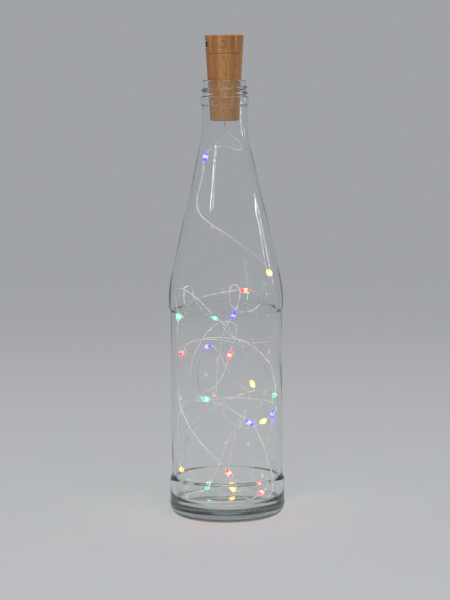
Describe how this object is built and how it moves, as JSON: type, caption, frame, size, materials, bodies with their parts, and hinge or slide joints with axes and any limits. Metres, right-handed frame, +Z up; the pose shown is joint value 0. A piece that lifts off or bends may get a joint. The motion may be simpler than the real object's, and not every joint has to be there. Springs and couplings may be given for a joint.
{
  "type": "cork bottle light",
  "caption": "Battery string light whose switched cork-shaped stopper plugs a clear glass bottle; coloured lights on fine wire lie in loops inside.",
  "frame": {"origin": "centre of the ring that the bottle stands on, on the table", "axes": "+Z up along the bottle's axis; -Y is the side the picture was taken from; the switch faces -X"},
  "size_m": [0.0692, 0.0692, 0.2897],
  "materials": {
    "clear_glass": "clear polished soda-lime glass",
    "cork_body": "moulded plastic finished like cork, with upright grain",
    "black_rubber": "matt",
    "black_plastic": "satin black",
    "white_plastic": "moulded, semi-matt",
    "tin_plate": "tin plated",
    "board_green": "solder mask",
    "nickel_contact": "nickel plated spring strip",
    "spring_steel": "nickel plated wire",
    "cell_steel": "nickel plated can",
    "seal_nylon": "nylon",
    "silver_wire": "silver-coloured enamelled wire, two strands",
    "blue_light": "light-emitting chip, blue",
    "amber_light": "light-emitting chip, warm amber",
    "green_light": "light-emitting chip, green",
    "red_light": "light-emitting chip, red",
    "clear_resin": "clear epoxy drop"
  },
  "bodies": {
    "bottle": {"bottle": "clear_glass", "string_neck": "silver_wire", "string_upper": "silver_wire", "string_middle": "silver_wire", "string_lower": "silver_wire", "blue_chips": "blue_light", "amber_chips": "amber_light", "green_chips": "green_light", "red_chips": "red_light", "blue_drops": "clear_resin", "amber_drops": "clear_resin", "green_drops": "clear_resin", "red_drops": "clear_resin"},
    "stopper": {"cork_sleeve": "cork_body", "wire_grommet": "black_rubber"},
    "core": {"cork_cap": "cork_body", "switch_frame": "tin_plate", "switch_base": "black_plastic", "switch_pins": "tin_plate", "circuit_board": "board_green", "resistor": "black_plastic", "battery_tray": "white_plastic", "positive_plate": "nickel_contact", "contact_strip": "nickel_contact", "negative_spring": "spring_steel", "button_cell_top": "cell_steel", "button_cell_middle": "cell_steel", "button_cell_bottom": "cell_steel", "cell_seals": "seal_nylon", "string_tail": "silver_wire"},
    "knob": {"switch_knob": "black_plastic", "switch_slider": "white_plastic"}
  },
  "joints": [
    {"name": "stopper_lift", "type": "slide", "parent": "bottle", "child": "stopper", "axis": [0, 0, 1], "range_m": [0, 0.04], "deforming": ["string_neck"]},
    {"name": "core_pull", "type": "slide", "parent": "stopper", "child": "core", "axis": [0, 0, 1], "range_m": [0, 0.03], "deforming": ["string_tail"]},
    {"name": "switch_slide", "type": "slide", "parent": "core", "child": "knob", "axis": [0, 1, 0], "range_m": [-0.002, 0]}
  ]
}
